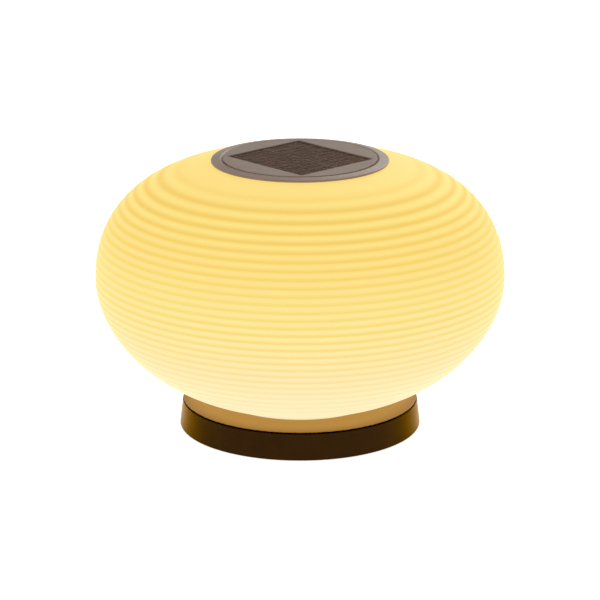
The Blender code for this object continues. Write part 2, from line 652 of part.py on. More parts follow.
def make_wires(shop):
    """The leads from the panel and to the lamp board, which are short and wholly inside."""
    for side, colour in ((1, "red"), (-1, "black")):
        shop.wire(
            f"panel_lead_{colour}",
            [(3, 2 * side, 159.7), (3, 2 * side, 157.5), (5, 2.6 * side, 154.6),
             (9, 3.4 * side, 153.0), (11, 3.8 * side, 151.9)],
            WIRE_RADIUS, colour, shop.unit)
        shop.wire(
            f"lamp_lead_{colour}",
            [(5 * side, 3, 135.2), (5 * side, 4.6, 137.5), (5.6 * side, 7.5, 142),
             (5.6 * side, 9.5, 147), (5 * side, 10, 149.5)],
            WIRE_RADIUS, colour, shop.unit)


def main():
    shop = Workshop()
    make_shade(shop)
    make_base(shop)
    make_unit_top(shop)
    make_housing(shop)
    make_battery(shop)
    make_electronics(shop)
    make_wires(shop)
    bpy.context.view_layer.update()
    settled = {obj: settle(obj) for obj in shop.parts.objects if obj.type == "MESH"}
    for obj, mesh in settled.items():
        obj.modifiers.clear()
        obj.data = mesh


main()
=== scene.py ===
"""Solar table lantern: fine pieces, finishes and stage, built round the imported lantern."""

import math

import bmesh
import bpy
from bpy.props import FloatProperty, FloatVectorProperty, PointerProperty
from mathutils import Matrix, Vector


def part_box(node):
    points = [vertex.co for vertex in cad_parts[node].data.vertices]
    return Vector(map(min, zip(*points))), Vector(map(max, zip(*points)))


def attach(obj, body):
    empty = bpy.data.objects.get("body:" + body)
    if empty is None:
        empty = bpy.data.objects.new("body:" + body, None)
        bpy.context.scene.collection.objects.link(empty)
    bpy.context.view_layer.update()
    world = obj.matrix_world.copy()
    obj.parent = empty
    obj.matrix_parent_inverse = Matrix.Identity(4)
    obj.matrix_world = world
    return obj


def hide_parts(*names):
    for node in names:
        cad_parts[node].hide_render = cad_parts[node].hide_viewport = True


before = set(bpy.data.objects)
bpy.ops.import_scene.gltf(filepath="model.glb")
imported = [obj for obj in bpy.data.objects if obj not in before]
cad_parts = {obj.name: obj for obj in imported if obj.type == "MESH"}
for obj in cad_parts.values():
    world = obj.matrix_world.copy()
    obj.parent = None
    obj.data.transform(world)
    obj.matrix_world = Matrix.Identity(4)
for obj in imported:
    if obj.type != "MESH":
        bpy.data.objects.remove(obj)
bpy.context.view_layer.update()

bl_info = {
    "name": "Solar Table Lantern",
    "version": (1, 0, 0),
    "blender": (4, 5, 0),
    "location": "3D View > Sidebar > Lantern",
    "description": "Makes the fine pieces, finishes and stage of a solar table lantern",
    "category": "Object",
}

MM = 0.001
TAU = math.tau

# The shade's outline, in millimetres: an oval whose upper and lower halves differ.
SHADE_LOW, SHADE_TOP = (corner.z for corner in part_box("shade"))
WIDEST_RADIUS, WIDEST_Z = 120.0, 90.2
RISE, RISE_POWERS = 71.4, (2.21, 3.0)
DROP, DROP_POWERS = 76.5, (1.80, 2.38)
# Radii of its mouth, of its flat floor and of the hole in that floor.
MOUTH, FLOOR_EDGE, HOLE = 46.3, 48.0, 41.0
# How far the inner corner of its floor lies inside the outer one.
FLOOR_STEP = 0.5
# Steps down the profile of its outside. One in every few has a point on the plain inside too, but
# not the first and last.
LEVELS, INSIDE_EVERY, INSIDE_MARGIN = 300, 4, 2
# Where the ribs begin and end, as shares of the shade's height, and how fast they grow there.
RIBS_BEGIN, RIBS_RISE, RIBS_END, RIBS_FALL = 0.06, 0.08, 0.985, 0.035
# Under 1, the ribs are rounder and their grooves sharper than a sine wave's.
RIB_POWER = 0.75
# Painted light and shade across one rib, from groove to groove upwards, as its relief would be lit.
RIB_SHADING_WAVE = [(0.0, 0.0), (0.1, 0.0), (0.25, 0.2), (0.42, 0.75), (0.58, 1.0), (0.76, 0.95),
            (0.9, 0.4), (1.0, 0.0)]
# How strongly the painted shade of the grooves shows, from the floor to the top.
GROOVE_SHADE_SHOWN = [(0.0, 0.0), (0.06, 0.0), (0.14, 0.9), (0.945, 0.95), (0.98, 0.0)]
# The lamp's light through the shade, painted on as glow, from the floor to the top: on the ribs,
# and in the grooves, darker with painted shade.
CREST_GLOW = [(0.0, "#FDF3CA"), (0.14, "#FCEDC5"), (0.3, "#FCE8B7"), (0.5, "#FDEAA3"),
              (0.62, "#FEE59A"), (0.75, "#FFE38E"), (0.9, "#FFE788"), (1.0, "#FFE185")]
GROOVE_SHADED_GLOW = [(0.0, "#F8E8C0"), (0.14, "#F1E1B6"), (0.3, "#EFD89A"), (0.5, "#F1D577"),
               (0.62, "#F2DA74"), (0.75, "#F4D266"), (0.9, "#F3CC62"), (1.0, "#F6D370")]

# The base's wall, in millimetres: how far it leans in, and how far its rim lies below the plain
# solid's, which leaves a groove under the gold plate.
WALL_LEAN, RIM_DROP = 1.85, 0.35
# The radii of its two outer corners, and the bores that the plate and the bottom cover sit in.
RIM_CORNER, FOOT_CORNER = 0.25, 0.8
PLATE_BORE, COVER_BORE = 67.9, 68.2
# Its inner side, from the cover's seat upwards, as (r, z).
COVER_SEAT = 3.8
WALL_INSIDE = [(66.6, COVER_SEAT), (66.6, 13.2), (63.5, 13.2), (63.5, 14.8), (PLATE_BORE, 14.8)]
# Between these radii the plate's colour deepens towards its rim: painted shade of its reflection.
RIM_SHADE_BEGINS, RIM_SHADE_ENDS = 61, 68

# The cap's ring in section, as (r, z) or (r, z, corner radius) in millimetres. From a crest beside
# the disc its top slopes down to a thin edge over the shade. Below are its neck and the seat of
# the disc.
CAP_RING = [
    (45.5, 160.8), (46.3, 161.5, 0.5), (51.7, 160.75, 0.45), (51.7, 159.62, 0.15), (50.2, 159.8),
    (43.2, 160.0), (43.2, 156.0), (41.2, 156.0), (41.2, 160.5), (45.5, 160.5),
]
# The cap's disc and the pocket in it, in millimetres.
DISC_LOW, DISC_RADIUS, DISC_CORNER = 160.7, 45.0, 0.45
POCKET_GAP, POCKET_CORNER = 0.25, 0.8
POCKET_SIDE_POINTS, POCKET_CORNER_STEPS = 30, 4
# Where a broken edge's middle lies, as a share of its width from the outside of the corner.
BROKEN = 0.3
CELL_STRIPS, SCREWS, LEDS = 11, 3, 3

# The stage, in metres.
FLOOR_RADIUS, FLOOR_SIDES, FLOOR_Z = 6.0, 64, -0.0002
PAPER_GLOW = 0.8
# Brightness of the walls and the ceiling, by how far up one looks.
STUDIO = [(0.1, 1.0), (0.24, 0.55), (1.0, 0.5)]
LIGHT_AIM = (0, 0, 0.1)
SOFTBOX_PLACE, SOFTBOX_SIZE = (-1.1, -1.3, 1.6), (1.2, 0.8)
SIDE_PANEL_PLACE, SIDE_PANEL_SIZE = (1.17, 1.79, 1.25), (2.2, 1.3)
SENSOR_WIDTH = 36.0

# How finely shapes are made: sides of a turned piece, steps of a rounded corner, and the angles in
# degrees from which an edge stays sharp or gets a bevel.
SEGMENTS, FILLET_STEPS = 192, 5
SHARP_ANGLE, SHADE_SHARP_ANGLE, BEVEL_ANGLE = 32, 60, 40
WELD_REACH = 0.01
# Nearly all values of a noise texture lie between these.
NOISE_LOW, NOISE_HIGH = 0.3, 0.7
# Socket numbers of the Mix node when it mixes colours.
MIX_A, MIX_B, MIX_RESULT = 6, 7, 2


# ---------------------------------------------------------------- colours and nodes


def linear(hex_colour):
    """An sRGB hex colour as linear RGBA."""
    channels = [int(hex_colour[i : i + 2], 16) / 255 for i in (1, 3, 5)]
    return (*(c / 12.92 if c <= 0.04045 else ((c + 0.055) / 1.055) ** 2.4 for c in channels), 1.0)


def rgba(colour):
    """A colour as linear RGBA, from an sRGB hex colour or from a colour property."""
    return linear(colour) if isinstance(colour, str) else tuple(colour)


def greys(stops):
    """Stops of (position, brightness) as stops of (position, colour)."""
    return [(position, (value, value, value, 1)) for position, value in stops]


def add(tree, kind, inputs=None, links=None, **settings):
    """Adds a node with its settings, its inputs' values and the links into its inputs."""
    node = tree.nodes.new(kind)
    for name, value in settings.items():
        setattr(node, name, value)
    for name, value in (inputs or {}).items():
        node.inputs[name].default_value = value
    for name, socket in (links or {}).items():
        tree.links.new(socket, node.inputs[name])
    return node


def new_finish(name, **sockets):
    """A Principled material, with values for the shader's own sockets: (material, tree, shader)."""
    finish = bpy.data.materials.new(name)
    finish.use_nodes = True
    tree = finish.node_tree
    shader = tree.nodes["Principled BSDF"]
    for socket, value in sockets.items():
        shader.inputs[socket.replace("_", " ")].default_value = value
    return finish, tree, shader


def set_ramp(node, stops):
    """Fills a colour ramp with (position, colour) stops."""
    ramp = node.color_ramp
    while len(ramp.elements) > 1:
        ramp.elements.remove(ramp.elements[-1])
    ramp.elements[0].position, ramp.elements[0].color = stops[0]
    for position, colour in stops[1:]:
        ramp.elements.new(position).color = colour


def surface_noise(tree, size_mm, detail=3.0):
    """Noise over the object in its own frame, with a grain of size_mm: its factor output."""
    place = add(tree, "ShaderNodeTexCoord").outputs["Object"]
    noise = add(
        tree, "ShaderNodeTexNoise", {"Scale": 1 / (size_mm * MM), "Detail": detail},
        {"Vector": place},
    )
    return noise.outputs["Fac"]


def two_colours(tree, factor, low, high):
    """A colour that moves between two colours with a noise factor: its output."""
    ramp = add(tree, "ShaderNodeValToRGB", links={0: factor})
    set_ramp(ramp, [(NOISE_LOW, rgba(low)), (NOISE_HIGH, rgba(high))])
    return ramp.outputs["Color"]


def vary_colour(tree, shader, factor, low, high):
    """The base colour moves between two colours with a noise factor."""
    tree.links.new(two_colours(tree, factor, low, high), shader.inputs["Base Color"])


def vary_roughness(tree, shader, factor, low, high):
    """The roughness moves between two values with a noise factor."""
    spread = add(tree, "ShaderNodeMapRange", {"To Min": low, "To Max": high}, {"Value": factor})
    tree.links.new(spread.outputs[0], shader.inputs["Roughness"])


def add_bump(tree, shader, height, depth_mm):
    """Bumps the surface by a height factor, depth_mm from its lowest to its highest."""
    bump = add(
        tree, "ShaderNodeBump", {"Strength": 1.0, "Distance": depth_mm * MM}, {"Height": height})
    tree.links.new(bump.outputs["Normal"], shader.inputs["Normal"])


# ---------------------------------------------------------------- finishes


def moulded_abs(name, low, high, roughness=(0.42, 0.56), **sockets):
    """Injection-moulded ABS with a fine spark-eroded texture: satin, slightly uneven in gloss."""
    finish, tree, shader = new_finish(name, IOR=1.53, **sockets)
    vary_colour(tree, shader, surface_noise(tree, 14.0), low, high)
    vary_roughness(tree, shader, surface_noise(tree, 5.0), *roughness)
    add_bump(tree, shader, surface_noise(tree, 0.45, detail=2.0), 0.012)
    return finish


def zinc_plate():
    """Bright zinc-plated steel: a grey metal with soft blotches in its shine."""
    finish, tree, shader = new_finish("zinc_plated_steel", Metallic=1.0)
    vary_colour(tree, shader, surface_noise(tree, 3.0), "#A9AAAC", "#C6C6C2")
    vary_roughness(tree, shader, surface_noise(tree, 1.2), 0.24, 0.42)
    return finish


def moulded_rubber():
    """Moulded black rubber: very matt, with a dusty grain."""
    finish, tree, shader = new_finish("moulded_rubber", IOR=1.52, Roughness=0.85)
    vary_colour(tree, shader, surface_noise(tree, 2.0), "#1E1D1C", "#2B2A28")
    add_bump(tree, shader, surface_noise(tree, 0.5), 0.03)
    return finish


def bronze_lacquer():
    """Dark bronze metallic lacquer on steel: a warm mirror at its edges, nearly black face on."""
    look = bpy.context.scene.lantern_base
    finish, tree, shader = new_finish(
        "dark_bronze_lacquer", Metallic=1.0, Specular_Tint=rgba(look.wall_edge))
    vary_colour(tree, shader, surface_noise(tree, 14.0), look.wall, look.wall_worn)
    vary_roughness(tree, shader, surface_noise(tree, 5.0), 0.26, 0.34)
    add_bump(tree, shader, surface_noise(tree, 0.4), 0.003)
    return finish


def satin_gold():
    """Gold-lacquered steel plate, spun: a warm satin metal with fine rings round its axis."""
    look = bpy.context.scene.lantern_base
    finish, tree, shader = new_finish("satin_gold_lacquer", Metallic=1.0)
    place = add(tree, "ShaderNodeTexCoord").outputs["Object"]
    split = add(tree, "ShaderNodeSeparateXYZ", links={0: place})
    flat = add(tree, "ShaderNodeCombineXYZ", links={0: split.outputs[0], 1: split.outputs[1]})
    radius = add(tree, "ShaderNodeVectorMath", links={0: flat.outputs[0]}, operation="LENGTH")
    # Real spinning marks are finer. They are drawn wider here, so that they show.
    rings = add(
        tree, "ShaderNodeTexNoise", {"Scale": 1 / look.spin_mark, "Detail": 3.0},
        {"W": radius.outputs["Value"]}, noise_dimensions="1D",
    )
    marks = two_colours(tree, rings.outputs["Fac"], look.gold_dark, look.gold_light)
    # Painted shade: the colour deepens towards the rim, where the plate reflects less of the glow.
    rim = add(
        tree, "ShaderNodeMapRange",
        {"From Min": RIM_SHADE_BEGINS * MM, "From Max": RIM_SHADE_ENDS * MM},
        {"Value": radius.outputs["Value"]},
    ).outputs[0]
    gold = add(
        tree, "ShaderNodeMix", {MIX_B: rgba(look.gold_rim_shade)},
        {0: rim, MIX_A: marks}, data_type="RGBA",
    ).outputs[MIX_RESULT]
    tree.links.new(gold, shader.inputs["Base Color"])
    vary_roughness(tree, shader, rings.outputs["Fac"], 0.3, 0.46)
    add_bump(tree, shader, rings.outputs["Fac"], 0.01)
    return finish


def glowing_shade():
    """Frosted polypropylene, moulded in waves and lit from inside.

    Light from the lamp inside comes through all of it, and is painted on as a warm, soft glow:
    yellow near the top, and paler towards the floor that the lamp shines on. Each groove between
    two ribs is painted a little darker and deeper in colour, as painted shade of the relief.
    """
    look = bpy.context.scene.lantern_shade
    finish, tree, shader = new_finish(
        "frosted_polypropylene", Roughness=0.5, IOR=1.49, Specular_IOR_Level=0.04,
        Sheen_Weight=0.06, Sheen_Roughness=0.5, Sheen_Tint=linear("#FFE9A8"),
    )
    place = add(tree, "ShaderNodeTexCoord").outputs["Object"]
    height = add(tree, "ShaderNodeSeparateXYZ", links={0: place}).outputs["Z"]
    share = add(
        tree, "ShaderNodeMapRange",
        {"From Min": SHADE_LOW, "From Max": SHADE_TOP}, {"Value": height},
    ).outputs[0]

    # Place within a rib: 0 and 1 at the groove centres, counted upwards.
    above = add(tree, "ShaderNodeMath", {1: look.first_groove}, {0: height}, operation="SUBTRACT")
    count = add(tree, "ShaderNodeMath", {1: look.rib_pitch}, {0: above.outputs[0]},
                operation="DIVIDE")
    phase = add(tree, "ShaderNodeMath", links={0: count.outputs[0]}, operation="FRACT").outputs[0]

    # Painted light and shade across each rib.
    ramp = add(tree, "ShaderNodeValToRGB", links={0: phase})
    set_ramp(ramp, greys(RIB_SHADING_WAVE))
    ramp.color_ramp.interpolation = "B_SPLINE"
    wave = ramp.outputs["Color"]
    shown = add(tree, "ShaderNodeValToRGB", links={0: share})
    set_ramp(shown, greys(GROOVE_SHADE_SHOWN))
    # Painted shade: the grooves are darkened by the wave and by how strongly they show.
    groove = add(tree, "ShaderNodeMath", {0: 1.0}, {1: wave}, operation="SUBTRACT").outputs[0]
    depth = add(tree, "ShaderNodeMath", links={0: groove, 1: shown.outputs[0]},
                operation="MULTIPLY").outputs[0]

    crest = add(tree, "ShaderNodeValToRGB", links={0: share})
    set_ramp(crest, [(position, linear(colour)) for position, colour in CREST_GLOW])
    groove_shade = add(tree, "ShaderNodeValToRGB", links={0: share})
    set_ramp(groove_shade, [(position, linear(colour)) for position, colour in GROOVE_SHADED_GLOW])
    glow = add(
        tree, "ShaderNodeMix",
        links={0: depth, MIX_A: crest.outputs[0], MIX_B: groove_shade.outputs[0]}, data_type="RGBA",
    ).outputs[MIX_RESULT]
    tree.links.new(glow, shader.inputs["Emission Color"])
    shader.inputs["Emission Strength"].default_value = look.glow
    shader.inputs["Base Color"].default_value = rgba(look.plastic)
    add_bump(tree, shader, surface_noise(tree, 0.8), 0.01)
    return finish


# ---------------------------------------------------------------- shapes


def finish_mesh(name, bm, finish, smooth_angle=SHARP_ANGLE):
    """Makes a piece from a bmesh, smooth but for edges sharper than the angle."""
    bmesh.ops.recalc_face_normals(bm, faces=bm.faces)
    mesh = bpy.data.meshes.new(name)
    bm.to_mesh(mesh)
    bm.free()
    mesh.materials.append(finish)
    mesh.shade_smooth()
    mesh.set_sharp_from_angle(angle=math.radians(smooth_angle))
    piece = bpy.data.objects.new(name, mesh)
    bpy.context.scene.collection.objects.link(piece)
    even = piece.modifiers.new("Weighted normals", "WEIGHTED_NORMAL")
    even.keep_sharp = True
    return piece


def fillet(corners):
    """Rounds a profile of (r, z) or (r, z, corner radius) points, in millimetres."""
    points = []
    for i, corner in enumerate(corners):
        radius = corner[2] if len(corner) > 2 else 0.0
        here = Vector(corner[:2])
        if not radius or i in (0, len(corners) - 1):
            points.append(here)
            continue
        back = (Vector(corners[i - 1][:2]) - here).normalized()
        on = (Vector(corners[i + 1][:2]) - here).normalized()
        half = back.angle(on) / 2
        reach = radius / math.tan(half)
        centre = here + (back + on).normalized() * (radius / math.sin(half))
        start, end = here + back * reach - centre, here + on * reach - centre
        for k in range(FILLET_STEPS + 1):
            points.append(centre + start.slerp(end, k / FILLET_STEPS).normalized() * radius)
    return [(p.x, p.y) for p in points]


def turned(name, profile, finish, smooth_angle=SHARP_ANGLE):
    """A ring-shaped solid about Z from a closed profile of (r, z) points in millimetres."""
    bm = bmesh.new()
    angles = [TAU * k / SEGMENTS for k in range(SEGMENTS)]
    rings = [
        [bm.verts.new((r * MM * math.cos(a), r * MM * math.sin(a), z * MM)) for a in angles]
        for r, z in profile
    ]
    for upper, lower in zip(rings, rings[1:] + rings[:1]):
        for k in range(SEGMENTS):
            n = (k + 1) % SEGMENTS
            bm.faces.new((upper[k], lower[k], lower[n], upper[n]))
    return finish_mesh(name, bm, finish, smooth_angle)


def crisp(node, finish, bevel_mm, segments=2):
    """Gives a CAD piece its finish, and rounds its edges with modifiers."""
    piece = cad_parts[node]
    piece.data.materials.clear()
    piece.data.materials.append(finish)
    weld = piece.modifiers.new("Weld", "WELD")
    weld.merge_threshold = WELD_REACH * MM
    if bevel_mm:
        edge = piece.modifiers.new("Rounded edges", "BEVEL")
        edge.width = bevel_mm * MM
        edge.segments = segments
        edge.limit_method = "ANGLE"
        edge.angle_limit = math.radians(BEVEL_ANGLE)
    piece.data.shade_smooth()
    piece.modifiers.new("Weighted normals", "WEIGHTED_NORMAL").keep_sharp = False


# ---------------------------------------------------------------- properties


def length(name, description, millimetres):
    """A length setting."""
    return FloatProperty(name=name, description=description, default=millimetres * MM,
                         unit="LENGTH", precision=5)


def paint(name, description, hex_colour):
    """A colour setting."""
    return FloatVectorProperty(name=name, description=description, default=linear(hex_colour),
                               size=4, min=0.0, max=1.0, subtype="COLOR")


def strength(name, description, default):
    """A setting for how strong a light is."""
    return FloatProperty(name=name, description=description, default=default, min=0.0)


class LanternShade(bpy.types.PropertyGroup):
    """The shade's ribs and glow."""

    rib_pitch: length("Rib pitch", "Height from one rib to the next", 4.31)
    rib_depth: length("Rib depth", "How far a groove lies below the ribs", 0.32)
    first_groove: length("First groove", "Height of the lowest groove's centre", 20.65)
    wall: length("Wall", "Thickness of the shade", 1.6)
    glow: strength("Glow", "Strength of the light through the shade", 0.88)
    plastic: paint("Plastic", "Colour of the unlit plastic", "#6B5A33")


class LanternBase(bpy.types.PropertyGroup):
    """The base's colours, and the spinning marks on its plate."""

    wall: paint("Wall", "Colour of the wall", "#2A1A09")
    wall_worn: paint("Wall, lighter", "Lighter patches of the wall", "#2E1D0A")
    wall_edge: paint("Wall, slanting", "Tint of the wall where it is seen at a slant", "#FFDDB6")
    gold_dark: paint("Gold, dark", "Darker rings of the plate", "#B28321")
    gold_light: paint("Gold, light", "Lighter rings of the plate", "#C7962E")
    # Painted shade: the deeper colour near the rim stands in for a dimmer reflection there.
    gold_rim_shade: paint("Gold, rim", "Deeper colour near the plate's rim", "#A2751B")
    cover: paint("Cover", "Colour of the cover under the base", "#2E1D0C")
    spin_mark: length("Spin mark", "Width of a spinning mark", 1.1)


class LanternCap(bpy.types.PropertyGroup):
    """The cap and the solar panel in it."""

    turn: FloatProperty(name="Panel turn", description="Direction of the panel's long side",
                        default=math.radians(-46.7), subtype="ANGLE")
    panel_length: length("Panel length", "Long side of the panel", 62.6)
    panel_width: length("Panel width", "Short side of the panel", 56.5)
    ring: paint("Ring", "Colour of the cap's ring", "#896F5D")
    ring_light: paint("Ring, lighter", "Lighter patches of the ring", "#917765")
    disc: paint("Disc", "Colour of the cap's disc", "#8B7767")
    disc_light: paint("Disc, lighter", "Lighter patches of the disc", "#917D6B")
    cell: paint("Cells", "Colour of the cells", "#583C24")
    cell_light: paint("Cells, lighter", "Lighter patches of the cells", "#60442C")


class LanternUnit(bpy.types.PropertyGroup):
    """The unit under the cap."""

    housing: paint("Housing", "Colour of the housing, its lid and its seat", "#1C1B1A")
    sleeve: paint("Battery", "Colour of the battery's sleeve", "#3C7358")
    lens: paint("Lens", "Colour of the frosted lens", "#F4EDD9")
    lamp: strength("Lamp", "Strength of the lamp's light", 1.2)


class LanternStage(bpy.types.PropertyGroup):
    """The camera, the floor and the lights."""

    distance: FloatProperty(name="Distance", description="Camera to lantern axis",
                            default=1.7425, unit="LENGTH")
    elevation: FloatProperty(name="Elevation", description="Camera above level",
                             default=math.radians(16.62), subtype="ANGLE")
    aim: length("Aim", "Height the camera looks at", 75.3)
    lens: FloatProperty(name="Lens", description="Focal length, in millimetres", default=177.7)
    daylight: strength("Daylight", "Strength of the studio's white walls", 1.0)
    softbox: strength("Softbox", "Power of the softbox at the front, in watts", 6.0)
    side_panel: strength("Side panel", "Power of the light panel at the back, in watts", 22.0)


# ---------------------------------------------------------------- shade


def outline_radius(z):
    """Outer radius of the shade at height z, in millimetres, before its ribs."""
    if z >= WIDEST_Z:
        share, (power, root) = (z - WIDEST_Z) / RISE, RISE_POWERS
    else:
        share, (power, root) = (WIDEST_Z - z) / DROP, DROP_POWERS
    return WIDEST_RADIUS * (1 - share**power) ** (1 / root)


def rib_sink(z, look):
    """How far the surface at height z lies below the tops of the ribs, in millimetres."""
    phase = (z * MM - look.first_groove) / look.rib_pitch
    wave = abs(math.sin(math.pi * phase)) ** RIB_POWER
    share = (z * MM - SHADE_LOW) / (SHADE_TOP - SHADE_LOW)
    begins = min(max((share - RIBS_BEGIN) / RIBS_RISE, 0), 1)
    ends = min(max((RIBS_END - share) / RIBS_FALL, 0), 1)
    return look.rib_depth / MM * (1 - wave) * begins * ends


class LANTERN_OT_shade(bpy.types.Operator):
    """Makes the ribbed shade."""

    bl_idname = "lantern.shade"
    bl_label = "Ribbed shade"

    def execute(self, context):
        look = context.scene.lantern_shade
        top, floor, wall = SHADE_TOP / MM, SHADE_LOW / MM, look.wall / MM
        # The levels lie closest together at the top and at the floor, where the outline turns.
        middle, half = (top + floor + wall) / 2, (top - floor - wall) / 2
        heights = [middle + half * math.sin(math.pi * (0.5 - i / LEVELS))
                   for i in range(LEVELS + 1)]
        smooth = [Vector((outline_radius(z), z)) for z in heights]
        outside, inside = [], []
        for i, point in enumerate(smooth):
            along = smooth[min(i + 1, LEVELS)] - smooth[max(i - 1, 0)]
            square = Vector((along.y, -along.x)).normalized()
            outside.append(point + square * rib_sink(point.y, look))
            if INSIDE_MARGIN < i < LEVELS - INSIDE_MARGIN and i % INSIDE_EVERY == 0:
                inside.append(point + square * wall)
        profile = [
            (MOUTH, top), *(tuple(p) for p in outside[1:]), (FLOOR_EDGE, floor), (HOLE, floor),
            (HOLE, floor + wall), (FLOOR_EDGE - FLOOR_STEP, floor + wall),
            *(tuple(p) for p in reversed(inside)), (MOUTH, top - wall),
        ]
        shade = turned("ribbed_shade", profile, glowing_shade(), SHADE_SHARP_ANGLE)
        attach(shade, "lantern")
        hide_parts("shade")
        return {"FINISHED"}


# ---------------------------------------------------------------- base


class LANTERN_OT_base(bpy.types.Operator):
    """Makes the base's wall and gold plate, and finishes what is under and inside them."""

    bl_idname = "lantern.base"
    bl_label = "Base"

    def execute(self, context):
        look = context.scene.lantern_base
        foot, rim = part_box("base_ring")
        foot_radius, low, top = rim.x / MM, foot.z / MM, rim.z / MM - RIM_DROP
        wall = turned("base_wall", fillet([
            (PLATE_BORE, top), (foot_radius - WALL_LEAN, top, RIM_CORNER),
            (foot_radius, low, FOOT_CORNER), (COVER_BORE, low), (COVER_BORE, COVER_SEAT),
            *WALL_INSIDE,
        ]), bronze_lacquer())
        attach(wall, "lantern")
        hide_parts("base_ring")

        crisp("base_top_plate", satin_gold(), 0)
        brown = moulded_abs("brown_abs", look.cover, "#352310", Specular_IOR_Level=0.3)
        crisp("base_bottom_cover", brown, 0.2)
        crisp("foot_ring", moulded_rubber(), 0.2)
        crisp("base_ballast", zinc_plate(), 0.4)
        white = moulded_abs("white_abs", "#DDD8CC", "#E6E1D6")
        crisp("shade_clamp_ring", white, 0.2)
        crisp("shade_collar", white, 0.2)
        zinc = zinc_plate()
        for kind in ("cover", "clamp"):
            for i in range(SCREWS):
                crisp(f"{kind}_screw_{i + 1}", zinc, 0.15)
        return {"FINISHED"}


# ---------------------------------------------------------------- cap and solar panel


def disc_with_pocket(name, look, finish):
    """The cap's disc: round outside, with a pocket for the panel, and softly broken edges."""
    low, high = DISC_LOW * MM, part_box("top_disc")[1].z
    radius, edge, corner = DISC_RADIUS * MM, DISC_CORNER * MM, POCKET_CORNER * MM
    half_x = look.panel_length / 2 + POCKET_GAP * MM
    half_y = look.panel_width / 2 + POCKET_GAP * MM

    def side(start, end):
        return [start.lerp(end, k / POCKET_SIDE_POINTS) for k in range(1, POCKET_SIDE_POINTS)]

    pocket = []
    for quarter, (sx, sy) in enumerate(((1, 1), (-1, 1), (-1, -1), (1, -1))):
        centre = Vector((sx * (half_x - corner), sy * (half_y - corner)))
        start = quarter * math.pi / 2
        angles = [start + math.pi / 2 * k / POCKET_CORNER_STEPS
                  for k in range(POCKET_CORNER_STEPS + 1)]
        arc = [centre + corner * Vector((math.cos(a), math.sin(a))) for a in angles]
        if pocket:
            pocket += side(pocket[-1], arc[0])
        pocket += arc
    pocket += side(pocket[-1], pocket[0])

    bm = bmesh.new()
    turn = Matrix.Rotation(look.turn, 4, "Z")

    def ring(points, z):
        return [bm.verts.new(turn @ Vector((p.x, p.y, z))) for p in points]

    def round_edge(r):
        return [p.normalized() * r for p in pocket]

    def pocket_edge(outwards):
        return [p + p.normalized() * outwards for p in pocket]

    rings = [
        ring(pocket, low), ring(pocket, high - edge),
        ring(pocket_edge(edge * BROKEN), high - edge * BROKEN),
        ring(pocket_edge(edge), high), ring(round_edge(radius - edge), high),
        ring(round_edge(radius - edge * BROKEN), high - edge * BROKEN),
        ring(round_edge(radius), high - edge), ring(round_edge(radius), low),
    ]
    for near, far in zip(rings, rings[1:] + rings[:1]):
        for k in range(len(pocket)):
            n = (k + 1) % len(pocket)
            bm.faces.new((near[k], near[n], far[n], far[k]))
    return finish_mesh(name, bm, finish)


def silicon_cells():
    """Silicon strips under resin: dark brown and matt."""
    look = bpy.context.scene.lantern_cap
    finish, tree, shader = new_finish("silicon_cells", Roughness=0.6, Specular_IOR_Level=0.05)
    vary_colour(tree, shader, surface_noise(tree, 6.0), look.cell, look.cell_light)
    return finish


def cast_resin():
    """Clear cast resin over the cells: faint in gloss, with a very slight haze."""
    finish, tree, shader = new_finish(
        "clear_cast_resin", IOR=1.03, Transmission_Weight=1.0, Specular_IOR_Level=0.1)
    shader.inputs["Base Color"].default_value = linear("#F4F0EA")
    vary_roughness(tree, shader, surface_noise(tree, 9.0), 0.04, 0.1)
    return finish


class LANTERN_OT_cap(bpy.types.Operator):
    """Makes the cap: its ring, its disc and the solar panel in it."""

    bl_idname = "lantern.cap"
    bl_label = "Cap and solar panel"

    def execute(self, context):
        look = context.scene.lantern_cap
        disc_abs = moulded_abs("taupe_abs_disc", look.disc, look.disc_light, roughness=(0.45, 0.56),
                               Specular_IOR_Level=0.25)
        ring_abs = moulded_abs("taupe_abs_ring", look.ring, look.ring_light, roughness=(0.34, 0.44),
                               Specular_IOR_Level=0.45)
        ring = turned("cap_ring", fillet(CAP_RING), ring_abs)
        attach(ring, "solar_unit")
        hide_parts("top_bezel")

        disc = disc_with_pocket("cap_disc", look, disc_abs)
        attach(disc, "solar_unit")
        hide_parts("top_disc")

        crisp("panel_board", moulded_abs("panel_backing", "#AA8A6C", "#B29274",
                                         Specular_IOR_Level=0.05), 0.1)
        cells = silicon_cells()
        for i in range(CELL_STRIPS):
            crisp(f"cell_strip_{i + 1:02d}", cells, 0.05, 1)
        tinned = moulded_abs("tinned_ribbon", "#7A6455", "#846E5E", Specular_IOR_Level=0.1)
        crisp("cell_ribbon", tinned, 0.03, 1)
        crisp("panel_window", cast_resin(), 0.12)
        return {"FINISHED"}


# ---------------------------------------------------------------- solar unit


